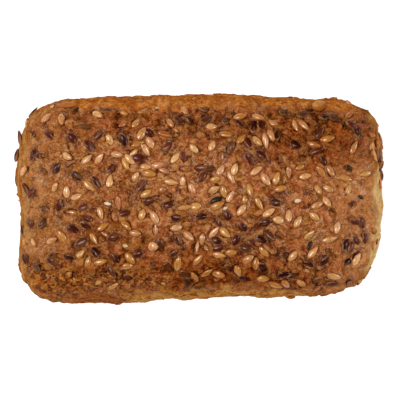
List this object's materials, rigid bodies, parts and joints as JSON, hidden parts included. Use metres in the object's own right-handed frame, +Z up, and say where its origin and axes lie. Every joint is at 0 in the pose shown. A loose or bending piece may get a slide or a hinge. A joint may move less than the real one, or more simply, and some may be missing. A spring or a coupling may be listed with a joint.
{
  "type": "seeded protein bread roll",
  "caption": "Rectangular soft-cornered bread roll with a flat underside and a domed top crust covered in baked-on linseeds.",
  "frame": {"origin": "middle of the flat underside, on the surface that the roll rests on", "axes": "+X along the roll, towards its rounder end; +Y across it, towards the back long side; +Z up"},
  "size_m": [0.125, 0.0718, 0.0454],
  "materials": {
    "crust": null
  },
  "bodies": {
    "root": {"seeded_roll": "crust"}
  },
  "joints": []
}
